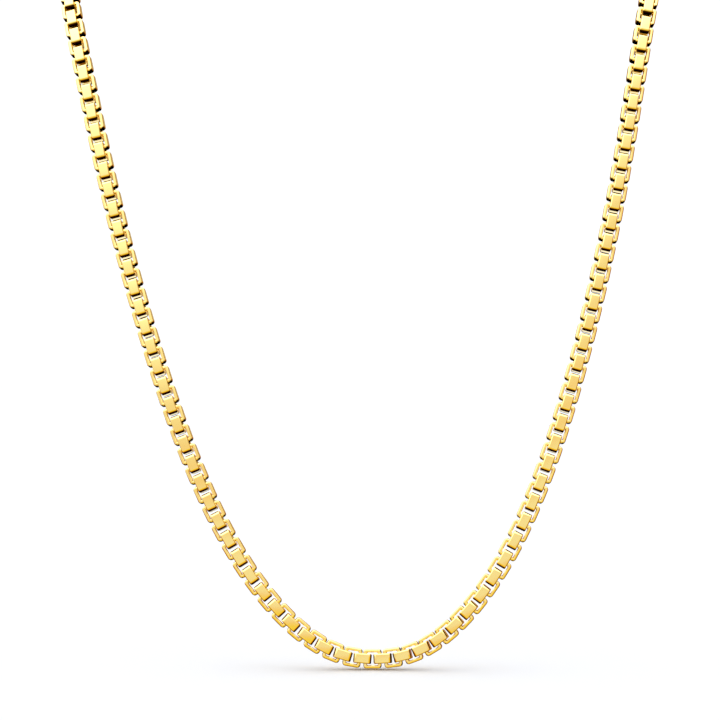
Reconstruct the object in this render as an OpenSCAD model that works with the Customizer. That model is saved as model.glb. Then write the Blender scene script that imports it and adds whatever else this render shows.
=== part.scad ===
// Box chain necklace: square links bent from flat strip, each turned a quarter
// turn from the last, closed behind the neck by a plain barrel clasp.
// It keeps the form it has when it hangs round a neck. The origin is the spot
// on the clasp that rests against the back of the neck. +X is the wearer's
// left, +Y points backward and +Z up.

/* [Links] */
// Width of the chain, across one link
link_width = 4; // [3:0.1:5]
// Thickness of the flat strip that a link is bent from
strip_thickness = 0.7; // [0.4:0.05:0.85]
// Room at each side of the strip, inside the link that it hangs in
side_play = 0.225; // [0.15:0.005:0.4]
// Room between the two bars that pull on each other
pull_play = 0.13; // [0.1:0.01:0.3]
// Open gap between two links that face the same way
link_gap = 0.64; // [0.4:0.01:1.2]
// Radius of a link's outer corners
corner_radius = 0.66; // [0.2:0.02:0.9]

/* [Necklace] */
// Length of the whole loop, clasp included
chain_length = 508; // [406:1:540]

/* [Clasp] */
// Length of the barrel
clasp_length = 10.4; // [8:0.1:18]
// How far the barrel stands out past the links
clasp_wall = 0.4; // [0.3:0.05:1]
// Radius of the barrel's rounded rims
clasp_rim = 0.8; // [0.3:0.1:1.2]

/* [Hidden] */
gold = "#F3C862";
$fn = 48;

// Points that draw one half of the loop towards them, from the lowest point
// up to the nape: x, y and z, then the way the links' faces look, as a turn
// to the side and a tilt upward in degrees. The other half mirrors this one.
route = [
    [0, -71, -160.9, 0, 7],
    [11.7, -71.7, -158.9, 0, 7],
    [26.7, -71.6, -143.1, 0.5, 7],
    [39.7, -68.7, -114.2, 1.5, 7],
    [52.7, -60.2, -68, 2, 7],
    [59.6, -54, -30.4, 7, 19],
    [63.6, -46.8, -15.6, 16.5, 43.5],
    [58.6, -34.5, -2.1, 5, 61],
    [42.9, -19.5, 5.3, -8, 65.5],
    [22.4, -7.8, 5.8, 1, 67.5],
    [0, -3.1, 5.3, 0, 71],
];
last = len(route) - 1;

// One row of the route; past either end it is the mirrored row of the other half
function mirrored(row) = [-row[0], row[1], row[2], -row[3], row[4]];
function row(i) =
    i < 0 ? mirrored(route[-i]) :
    i > last ? mirrored(route[2 * last - i]) : route[i];

// Smooth line drawn by the rows: the place at step t, and the way it heads
function mix(t, w) = let (i = min(floor(t), last - 1))
    w[0] * row(i - 1) + w[1] * row(i) + w[2] * row(i + 1) + w[3] * row(i + 2);
function part_of(t) = t - min(floor(t), last - 1);
function spot(t) = let (u = part_of(t), v = 1 - u)
    mix(t, [v * v * v, 3 * u * u * u - 6 * u * u + 4, 3 * v * v * v - 6 * v * v + 4, u * u * u] / 6);
function heading(t) = let (u = part_of(t), v = 1 - u)
    unit(xyz(mix(t, [-v * v, 3 * u * u - 4 * u, 4 * v - 3 * v * v, u * u])));
function xyz(v) = [v[0], v[1], v[2]];
function unit(v) = v / norm(v);

// Running totals of a list, starting at 0
function totals(v) = [for (i = 0, sum = 0; i <= len(v); sum = sum + (i < len(v) ? v[i] : 0), i = i + 1) sum];

// Half the loop walked in short steps
steps = 500;
walk = [for (i = [0:steps]) i * last / steps];
paces = [for (i = [1:steps]) norm(xyz(spot(walk[i])) - xyz(spot(walk[i - 1])))];
bends = [for (i = [1:steps]) norm(heading(walk[i]) - heading(walk[i - 1]))];
trail = totals(paces);
scale_up = chain_length / (2 * trail[steps]);

// Sizes that follow
strip_width = link_width - 2 * strip_thickness - 2 * side_play;
link_length = 4 * strip_thickness + 2 * pull_play + link_gap;
clasp_radius = link_width / 2 + clasp_wall;
eye_reach = (clasp_length + link_gap) / 2;

// Links keep their pitch along the outer edge of the strip, where they touch
// in a bend
edge = totals([for (i = [0:steps - 1]) paces[i] * scale_up + bends[i] * strip_width / 2]);
eye_edge = lookup(trail[steps] - eye_reach / scale_up, [for (i = [0:steps]) [trail[i], edge[i]]]);
links = ceil(eye_edge / (link_length - 2 * strip_thickness - pull_play) - 0.5);
pitch = eye_edge / (links + 0.5);
function step_at(i) = lookup((i + 0.5) * pitch, [for (j = [0:steps]) [edge[j], walk[j]]]);

// The eyes' spot on the route, level with the barrel's middle line
nape = spot(step_at(links));

// Place of a step on the finished loop, and the way that a link's face looks there
function place(t) =
    let (p = spot(t)) [p[0], p[1] - nape[1], p[2] - nape[2]] * scale_up + [0, clasp_radius, 0];
function outward(turn, tilt) = [sin(turn) * cos(tilt), -cos(turn) * cos(tilt), sin(tilt)];
function face(t) =
    let (way = heading(t), p = spot(t), out = outward(p[3], p[4])) unit(out - (out * way) * way);

// Box-shaped ring of flat strip, open along its own Z
module link() {
    linear_extrude(strip_width, center = true)
        difference() {
            union() {
                square([link_length, link_width - 2 * corner_radius], center = true);
                square([link_length - 2 * corner_radius, link_width], center = true);
                for (x = [-1, 1], y = [-1, 1])
                    translate([x * (link_length / 2 - corner_radius), y * (link_width / 2 - corner_radius)])
                        circle(corner_radius);
            }
            square([link_length, link_width] - 2 * strip_thickness * [1, 1], center = true);
        }
}

// The i-th link of one half: it shows a flat plate, or the next one its side
module link_at(i, plate) {
    t = step_at(i);
    way = heading(t);
    out = face(t);
    across = plate ? out : cross(out, way);
    axis = cross(way, across);
    at = place(t);
    multmatrix([
        [way[0], across[0], axis[0], at[0]],
        [way[1], across[1], axis[1], at[1]],
        [way[2], across[2], axis[2], at[2]],
    ])
        link();
}

// Half the chain. The two halves mirror each other, but where they meet one
// starts with a plate and the other with a side.
module half_chain(first) {
    for (i = [0:links - 1])
        link_at(i, (i + first) % 2 == 0);
}

module right_chain() {
    color(gold) half_chain(0);
}

module left_chain() {
    color(gold) mirror([1, 0, 0]) half_chain(1);
}

// Barrel with a half-sunk link at each end as its eyes
module clasp() {
    color(gold) {
        translate([0, clasp_radius, 0])
            rotate([0, 90, 0])
                translate([0, 0, -clasp_length / 2])
                    barrel();
        link_at(links, links % 2 == 0);
        mirror([1, 0, 0]) link_at(links, links % 2 == 1);
    }
}

module barrel() {
    rotate_extrude() {
        square([clasp_radius - clasp_rim, clasp_length]);
        translate([0, clasp_rim]) square([clasp_radius, clasp_length - 2 * clasp_rim]);
        for (z = [clasp_rim, clasp_length - clasp_rim])
            translate([clasp_radius - clasp_rim, z])
                intersection() {
                    circle(clasp_rim);
                    translate([0, -clasp_rim]) square([clasp_rim, 2 * clasp_rim]);
                }
    }
}

left_chain();
right_chain();
clasp();
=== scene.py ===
"""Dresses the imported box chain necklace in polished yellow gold, over a white studio floor.

Each link of the frame gets a strip link with rounded edges in its place, and the clasp
a turned barrel with two such links as its eyes. Units are metres, from millimetre sizes.
"""

import random
from math import copysign, radians

import bmesh
import bpy
import numpy as np
from mathutils import Euler, Matrix, Vector


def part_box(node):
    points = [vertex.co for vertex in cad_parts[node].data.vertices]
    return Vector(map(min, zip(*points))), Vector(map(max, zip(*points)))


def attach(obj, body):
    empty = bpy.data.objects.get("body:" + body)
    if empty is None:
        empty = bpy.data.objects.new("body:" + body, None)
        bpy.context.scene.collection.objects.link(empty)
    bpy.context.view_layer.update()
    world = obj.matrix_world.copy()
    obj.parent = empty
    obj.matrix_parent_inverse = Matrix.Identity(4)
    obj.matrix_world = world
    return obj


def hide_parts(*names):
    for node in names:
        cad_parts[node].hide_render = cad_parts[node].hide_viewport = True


MM = 0.001

# Lengths closer than this count as the same
HAIR = 0.001 * MM

# Links and clasp, as the part's source has them
LINK_WIDTH = 4.0 * MM
LINK_LENGTH = 3.7 * MM
STRIP_WIDTH = 2.15 * MM
STRIP_THICKNESS = 0.7 * MM
CORNER_RADIUS = 0.66 * MM
CLASP_LENGTH = 10.4 * MM
CLASP_RADIUS = 2.4 * MM
CLASP_RIM = 0.8 * MM

# What rolling and polishing make of a strip's edges: they fall away a little towards
# the outside, and are rounded where two faces meet at more than EDGE_ANGLE
EDGE_FALL = 0.06 * MM
EDGE_ROUND = 0.25 * MM
EDGE_ANGLE = radians(50)

# Flat steps that each round is made of
EDGE_STEPS = 3
CORNER_STEPS = 4
RIM_STEPS = 6
BARREL_STEPS = 64

# Weight of large faces in the shading beside their rounded edges, as high as it goes
FACE_WEIGHT = 100

# Buffed surface: waves in a metre and their height, hairlines in a metre and the share of
# those along Z, which draws them out, and the roughness of the clearest and haziest spots
WAVES_IN_METRE = 650.0
WAVE_HEIGHT = 0.003 * MM
HAIRLINES_IN_METRE = 9000.0
HAIRLINE_STRETCH = 0.15
ROUGHNESS = (0.05, 0.1)

# Values that most of a noise pattern lies between
NOISE_SPREAD = (0.3, 0.7)

# Painted shade values at which the gold starts to darken, and is fully dark
PAINTED_SHADE_START = 0.45
PAINTED_SHADE_FULL = 0.7

# How far a link hangs out of line at most, and the seed that its turns are drawn from
LOOSE_TURN = radians(0.5)
LOOSE_SEED = 7

# Gap between the lowest link and the floor, and the floor's side in metres
FLOOR_GAP = 0.05 * MM
FLOOR_SIZE = 6.0

# The camera's place in the part's frame, its turns, and its lens and sensor, which Blender
# takes in millimetres
CAMERA_AT = Vector((16.182, -563.472, -101.170)) * MM
CAMERA_YAW = radians(2.044)
CAMERA_PITCH = radians(-0.395)
CAMERA_ROLL = radians(1.840)
CAMERA_LENS = 122.52
CAMERA_SENSOR = 36

# Strength of the plain cool light, just enough to make the paper plain white
WHITE_LIGHT = 1.13

# The light tent: how high a spot of its lining is, its colour and how bright it is.
# Height is measured along an axis that leans left, so the left side is brighter.
TENT_AXIS = Vector((-0.22, 0.0, 1.0))
TENT = [
    (-0.9, "#C0600C", 0.04),
    (-0.65, "#E8781C", 0.12),
    (-0.4, "#FF9820", 0.3),
    (-0.06, "#FFB040", 0.6),
    (-0.02, "#FFD890", 0.75),
    (0.04, "#FFFFFF", 0.93),
    (0.12, "#FFFFFF", 0.94),
    (0.22, "#FFF6E0", 0.86),
    (0.3, "#FFFAF0", 0.93),
    (0.4, "#FFFCFF", 1.2),
    (0.5, "#FCF8FF", 1.7),
    (0.65, "#F6F2FF", 2.4),
    (0.85, "#F4F2FF", 3.0),
]

# What is left of that light behind the chain and to its right, by how far a spot is to
# the front, the left and the top
SHADE_AXIS = (-0.6, -0.8, 0.8)
SHADE = [
    (-1.0, "#FFEEC8", 0.8),
    (-0.8, "#FFE8B8", 0.7),
    (-0.55, "#FFB850", 0.25),
    (0.0, "#FFC860", 0.4),
    (0.3, "#FFFFFF", 1.0),
]

# The amber card below the lens, from its dark rim to its middle, in the same way
CARD_AXIS = (0.0, -1.0, 0.26)
CARD = [
    (0.24, "#FF8A4A", 0.02),
    (0.33, "#FF8420", 0.3),
    (0.44, "#FF9C20", 0.75),
    (0.6, "#FFC830", 0.93),
    (0.8, "#FFEC70", 0.93),
]

# The white paper that rises behind the chain, low down, from its rim to its middle
PAPER_AXIS = (0.0, 0.78, -0.63)
PAPER = [
    (0.8, "#FFE0A0", 0.02),
    (0.88, "#FFF4E0", 0.6),
    (0.95, "#F8FAFF", 1.2),
]


def linear(code):
    """A linear colour from an sRGB hex value."""
    shares = [int(code[i:i + 2], 16) / 255 for i in (1, 3, 5)]
    curve = [s / 12.92 if s <= 0.04045 else ((s + 0.055) / 1.055) ** 2.4 for s in shares]
    return (*curve, 1.0)


def add_node(tree, kind, inputs=None, **settings):
    """Adds a node; an input is a plain value, or the socket that feeds it."""
    node = tree.nodes.new(kind)
    for name, value in settings.items():
        setattr(node, name, value)
    for name, value in (inputs or {}).items():
        if isinstance(value, bpy.types.NodeSocket):
            tree.links.new(value, node.inputs[name])
        else:
            node.inputs[name].default_value = value
    return node


def new_material(name):
    """An empty material and its node tree."""
    material = bpy.data.materials.new(name)
    material.use_nodes = True
    material.node_tree.nodes.clear()
    return material, material.node_tree


def polished_gold():
    """14 karat yellow gold, tumbled and buffed to a mirror. The buffing wheel leaves faint
    waves and hairlines. The low end of each link, where the next one hangs and hides the
    light, gets painted shade: a dark red-brown colour."""
    material, tree = new_material("polished_yellow_gold")
    place = add_node(tree, "ShaderNodeTexCoord").outputs["Object"]

    # Painted shade: how deep a spot lies in the shade at the low end of its link
    depth = add_node(tree, "ShaderNodeAttribute", attribute_name="painted_shade").outputs["Fac"]
    depth = add_node(tree, "ShaderNodeMath", {0: depth}, operation="ABSOLUTE").outputs["Value"]
    painted_shade = add_node(
        tree, "ShaderNodeMapRange",
        {"Value": depth, "From Min": PAINTED_SHADE_START, "From Max": PAINTED_SHADE_FULL}).outputs["Result"]

    # Waves of the buffed surface, about 1.5 mm from crest to crest
    waves = add_node(
        tree, "ShaderNodeTexNoise", {"Vector": place, "Scale": WAVES_IN_METRE, "Detail": 1.0})
    wave_bump = add_node(
        tree, "ShaderNodeBump",
        {"Height": waves.outputs["Fac"], "Strength": 1.0, "Distance": WAVE_HEIGHT})

    # Hairlines are 0.01 mm wide, drawn here ten times as coarse so that they show
    stretch = add_node(
        tree, "ShaderNodeMapping", {"Vector": place, "Scale": (1.0, 1.0, HAIRLINE_STRETCH)})
    hairlines = add_node(
        tree, "ShaderNodeTexNoise",
        {"Vector": stretch.outputs["Vector"], "Scale": HAIRLINES_IN_METRE, "Detail": 2.0})
    gloss = add_node(
        tree, "ShaderNodeMapRange",
        {"Value": hairlines.outputs["Fac"],
         "From Min": NOISE_SPREAD[0], "From Max": NOISE_SPREAD[1],
         "To Min": ROUGHNESS[0], "To Max": ROUGHNESS[1]})

    # The alloy's colour shifts slightly where the polish is thinner
    tint = add_node(
        tree, "ShaderNodeMix",
        {0: waves.outputs["Fac"], 6: linear("#FFE38C"), 7: linear("#FFE694")}, data_type="RGBA")

    # Painted shade: the low end of each link coloured dark red-brown
    painted_shade_colour = add_node(
        tree, "ShaderNodeMix",
        {0: painted_shade, 6: tint.outputs[2], 7: linear("#2C0E04")}, data_type="RGBA")

    # The painted shade also dulls the gold's sheen where it is seen from the side
    edge = add_node(
        tree, "ShaderNodeMix",
        {0: painted_shade, 6: linear("#FFFFFF"), 7: linear("#180C06")}, data_type="RGBA")

    gold = add_node(
        tree, "ShaderNodeBsdfPrincipled",
        {"Base Color": painted_shade_colour.outputs[2], "Metallic": 1.0, "Specular Tint": edge.outputs[2],
         "Roughness": gloss.outputs["Result"], "Normal": wave_bump.outputs["Normal"]})
    add_node(tree, "ShaderNodeOutputMaterial", {"Surface": gold.outputs["BSDF"]})
    return material


def studio_floor():
    """Matt white paper sweep."""
    material, tree = new_material("white_paper_sweep")
    paper = add_node(
        tree, "ShaderNodeBsdfPrincipled",
        {"Base Color": linear("#FAFAFA"), "Roughness": 1.0, "Specular IOR Level": 0.0})
    add_node(tree, "ShaderNodeOutputMaterial", {"Surface": paper.outputs["BSDF"]})
    return material


def finished(name, bm, material, node):
    """Makes a piece of a mesh: it rides on the part and stands for its node."""
    mesh = bpy.data.meshes.new(name)
    for face in bm.faces:
        face.smooth = True
    bm.to_mesh(mesh)
    bm.free()
    mesh.materials.append(material)
    piece = bpy.data.objects.new(name, mesh)
    bpy.context.scene.collection.objects.link(piece)
    rounding = piece.modifiers.new("polished_edges", "BEVEL")
    rounding.width = EDGE_ROUND
    rounding.segments = EDGE_STEPS
    rounding.limit_method = "ANGLE"
    rounding.angle_limit = EDGE_ANGLE
    flatness = piece.modifiers.new("true_faces", "WEIGHTED_NORMAL")
    flatness.weight = FACE_WEIGHT
    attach(piece, "root")
    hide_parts(node)
    return piece


def link_shape():
    """One link, its length along X and its opening along Z: walls round the window,
    given the strip's thickness, with the four outer corners bent round. Its painted shade
    value, shade painted where the next link hides the light, is for the low end, +X. It grows
    round each corner from 0 to 1 and fades along the flat between them, as their signs differ
    there."""
    bm = bmesh.new()
    bmesh.ops.create_cube(bm, size=1.0)
    window = Vector((LINK_LENGTH, LINK_WIDTH)) - Vector((2, 2)) * STRIP_THICKNESS
    bmesh.ops.scale(bm, vec=(*window, STRIP_WIDTH), verts=bm.verts)
    ends = [f for f in bm.faces if abs(f.normal.z) > 0.5]
    bmesh.ops.delete(bm, geom=ends, context="FACES_ONLY")
    bmesh.ops.solidify(bm, geom=bm.faces[:], thickness=-STRIP_THICKNESS)
    bmesh.ops.recalc_face_normals(bm, faces=bm.faces)
    corners = [
        e for e in bm.edges
        if all(abs(v.co.y) > LINK_WIDTH / 2 - HAIR for v in e.verts)
        and abs(e.verts[0].co.z - e.verts[1].co.z) > STRIP_WIDTH / 2]
    bmesh.ops.bevel(
        bm, geom=corners, offset=CORNER_RADIUS, segments=CORNER_STEPS, profile=0.5,
        affect="EDGES", material=-1)
    outer = [
        v for v in bm.verts
        if abs(v.co.x) > window.x / 2 + HAIR or abs(v.co.y) > window.y / 2 + HAIR]
    bmesh.ops.scale(bm, vec=(1, 1, 1 - 2 * EDGE_FALL / STRIP_WIDTH), verts=outer)
    # Painted shade on the low end, which the material colours dark
    painted_shade = bm.loops.layers.float.new("painted_shade")
    for face in bm.faces:
        if not all(v in outer for v in face.verts):
            continue
        depths = [max((v.co.x - LINK_LENGTH / 2) / CORNER_RADIUS + 1, 0) for v in face.verts]
        flat = min(depths) > 1 - HAIR / CORNER_RADIUS
        for loop, depth in zip(face.loops, depths):
            loop[painted_shade] = copysign(depth, loop.vert.co.y) if flat else depth
    shape = bpy.data.meshes.new("link_shape")
    bm.to_mesh(shape)
    bm.free()
    return shape


def loose_parts(node):
    """The corners of each loose solid of a node, as one array a solid."""
    bm = bmesh.new()
    bm.from_mesh(node.data)
    bmesh.ops.remove_doubles(bm, verts=bm.verts, dist=HAIR)
    seen = set()
    parts = []
    for start in bm.verts:
        if start in seen:
            continue
        seen.add(start)
        found = [start]
        for vert in found:
            near = [e.other_vert(vert) for e in vert.link_edges]
            near = [v for v in near if v not in seen]
            seen.update(near)
            found.extend(near)
        parts.append(np.array([v.co for v in found]))
    bm.free()
    return parts


def resting_place(corners):
    """Where a link of the frame lies. Its corners spread least along its opening and
    most across it, which gives the three ways it faces. Its low end, where the shade is
    painted, is away from the light."""
    middle = corners.mean(axis=0)
    spread = np.cov((corners - middle).T)
    ways = np.linalg.eigh(spread)[1]
    opening, along, across = Vector(ways[:, 0]), Vector(ways[:, 1]), Vector(ways[:, 2])
    if along.dot(TENT_AXIS) > 0:
        along.negate()
    if along.cross(across).dot(opening) < 0:
        opening.negate()
    turn = Matrix((along, across, opening)).transposed().to_4x4()
    return Matrix.Translation(middle) @ turn


def add_link(bm, shape, place):
    """Puts one more link into a mesh."""
    known = set(bm.verts)
    bm.from_mesh(shape)
    fresh = [v for v in bm.verts if v not in known]
    bmesh.ops.transform(bm, matrix=place, verts=fresh)


def dress_chain(node_name, piece_name, shape, material, dice):
    """Half the chain: a finished link in the place of each link of the frame."""
    bm = bmesh.new()
    for corners in loose_parts(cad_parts[node_name]):
        hang = Euler([dice.uniform(-LOOSE_TURN, LOOSE_TURN) for _ in range(3)]).to_matrix().to_4x4()
        add_link(bm, shape, resting_place(corners) @ hang)
    return finished(piece_name, bm, material, node_name)


def eye_place(node_name):
    """Where a clasp's eye lies: it carries on the bend of the last links of a half, and
    is turned as the last but one is."""
    places = [resting_place(corners) for corners in loose_parts(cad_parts[node_name])]
    places.sort(key=lambda place: place.translation.length)
    near, second, third = (place.translation for place in places[:3])
    at = near * 3 - second * 3 + third
    return Matrix.Translation(at) @ places[1].to_3x3().to_4x4()


def dress_clasp(shape, material):
    """Plain turned barrel with rounded rims and an eye at each end."""
    bm = bmesh.new()
    bmesh.ops.create_cone(
        bm, cap_ends=True, radius1=CLASP_RADIUS, radius2=CLASP_RADIUS,
        depth=CLASP_LENGTH, segments=BARREL_STEPS)
    rims = [e for e in bm.edges if abs(e.verts[0].co.z - e.verts[1].co.z) < HAIR]
    bmesh.ops.bevel(
        bm, geom=rims, offset=CLASP_RIM, segments=RIM_STEPS, profile=0.5,
        affect="EDGES", material=-1)
    bmesh.ops.rotate(bm, matrix=Matrix.Rotation(radians(90), 3, "Y"), verts=bm.verts)
    bmesh.ops.translate(bm, vec=(0, CLASP_RADIUS, 0), verts=bm.verts)
    # The barrel gets no painted shade; its eyes bring their own
    bm.loops.layers.float.new("painted_shade")
    for node_name in ("left_chain", "right_chain"):
        add_link(bm, shape, eye_place(node_name))
    return finished("barrel_clasp", bm, material, "clasp")


def set_camera():
    """Camera half a metre in front of the chain, turned as the photograph's was."""
    data = bpy.data.cameras.new("camera")
    data.lens = CAMERA_LENS
    data.sensor_width = CAMERA_SENSOR
    camera = bpy.data.objects.new("camera", data)
    camera.matrix_world = (
        Matrix.Translation(CAMERA_AT)
        @ Matrix.Rotation(CAMERA_YAW, 4, "Z")
        @ Matrix.Rotation(CAMERA_PITCH, 4, "X")
        @ Matrix.Rotation(CAMERA_ROLL, 4, "Y")
        @ Matrix.Rotation(radians(90), 4, "X"))
    bpy.context.scene.collection.objects.link(camera)
    bpy.context.scene.camera = camera


def set_floor():
    """White floor just under the lowest link, level in the view of the rolled camera. The
    gold doesn't mirror it."""
    bm = bmesh.new()
    bmesh.ops.create_grid(bm, x_segments=1, y_segments=1, size=FLOOR_SIZE / 2)
    lowest = min(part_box(n)[0][2] for n in ("left_chain", "right_chain"))
    bmesh.ops.rotate(bm, matrix=Matrix.Rotation(CAMERA_ROLL, 3, "Y"), verts=bm.verts)
    bmesh.ops.translate(bm, vec=(0, 0, lowest - FLOOR_GAP), verts=bm.verts)
    mesh = bpy.data.meshes.new("floor")
    bm.to_mesh(mesh)
    bm.free()
    mesh.materials.append(studio_floor())
    floor = bpy.data.objects.new("floor", mesh)
    floor.visible_glossy = False
    bpy.context.scene.collection.objects.link(floor)


def lining(tree, way, axis, rows):
    """Colours a piece of the tent by how far a direction points along an axis."""
    reach = add_node(tree, "ShaderNodeVectorMath", {0: way, 1: axis}, operation="DOT_PRODUCT")
    low, high = rows[0][0], rows[-1][0]
    share = add_node(
        tree, "ShaderNodeMapRange",
        {"Value": reach.outputs["Value"], "From Min": low, "From Max": high})
    ramp = add_node(tree, "ShaderNodeValToRGB", {"Fac": share.outputs["Result"]})
    steps = ramp.color_ramp.elements
    while len(steps) < len(rows):
        steps.new(0.5)
    for step, (level, code, strength) in zip(steps, rows):
        step.position = (level - low) / (high - low)
        step.color = (*(strength * c for c in linear(code)[:3]), 1.0)
    return ramp.outputs["Color"]


def set_light():
    """A light tent, white above and dark below, shaded behind the chain and to its right,
    with an amber card under the lens and white paper low behind the chain. Only the gold
    mirrors it: the lens and the floor see plain white."""
    world = bpy.data.worlds.new("light_tent")
    bpy.context.scene.world = world
    world.use_nodes = True
    tree = world.node_tree
    tree.nodes.clear()
    way = add_node(tree, "ShaderNodeTexCoord").outputs["Generated"]
    inside = lining(tree, way, TENT_AXIS, TENT)
    for blend, axis, rows in (
            ("MULTIPLY", SHADE_AXIS, SHADE),
            ("LIGHTEN", CARD_AXIS, CARD),
            ("LIGHTEN", PAPER_AXIS, PAPER)):
        inside = add_node(
            tree, "ShaderNodeMix", {0: 1.0, 6: inside, 7: lining(tree, way, axis, rows)},
            data_type="RGBA", blend_type=blend).outputs[2]
    tent = add_node(tree, "ShaderNodeBackground", {"Color": inside})
    backdrop = add_node(
        tree, "ShaderNodeBackground", {"Color": linear("#F9FBFF"), "Strength": WHITE_LIGHT})
    mirrored = add_node(tree, "ShaderNodeLightPath").outputs["Is Glossy Ray"]
    light = add_node(
        tree, "ShaderNodeMixShader",
        {0: mirrored, 1: backdrop.outputs["Background"], 2: tent.outputs["Background"]})
    add_node(tree, "ShaderNodeOutputWorld", {"Surface": light.outputs["Shader"]})


set_camera()
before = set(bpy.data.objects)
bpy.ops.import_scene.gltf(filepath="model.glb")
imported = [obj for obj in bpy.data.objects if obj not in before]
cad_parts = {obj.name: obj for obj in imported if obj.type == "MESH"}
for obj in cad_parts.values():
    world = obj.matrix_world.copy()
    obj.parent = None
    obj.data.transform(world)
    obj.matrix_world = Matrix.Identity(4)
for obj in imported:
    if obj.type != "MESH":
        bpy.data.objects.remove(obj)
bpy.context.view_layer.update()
bpy.context.scene.view_settings.view_transform = "Standard"

gold = polished_gold()
shape = link_shape()
dice = random.Random(LOOSE_SEED)
dress_chain("left_chain", "left_links", shape, gold, dice)
dress_chain("right_chain", "right_links", shape, gold, dice)
dress_clasp(shape, gold)
set_floor()
set_light()
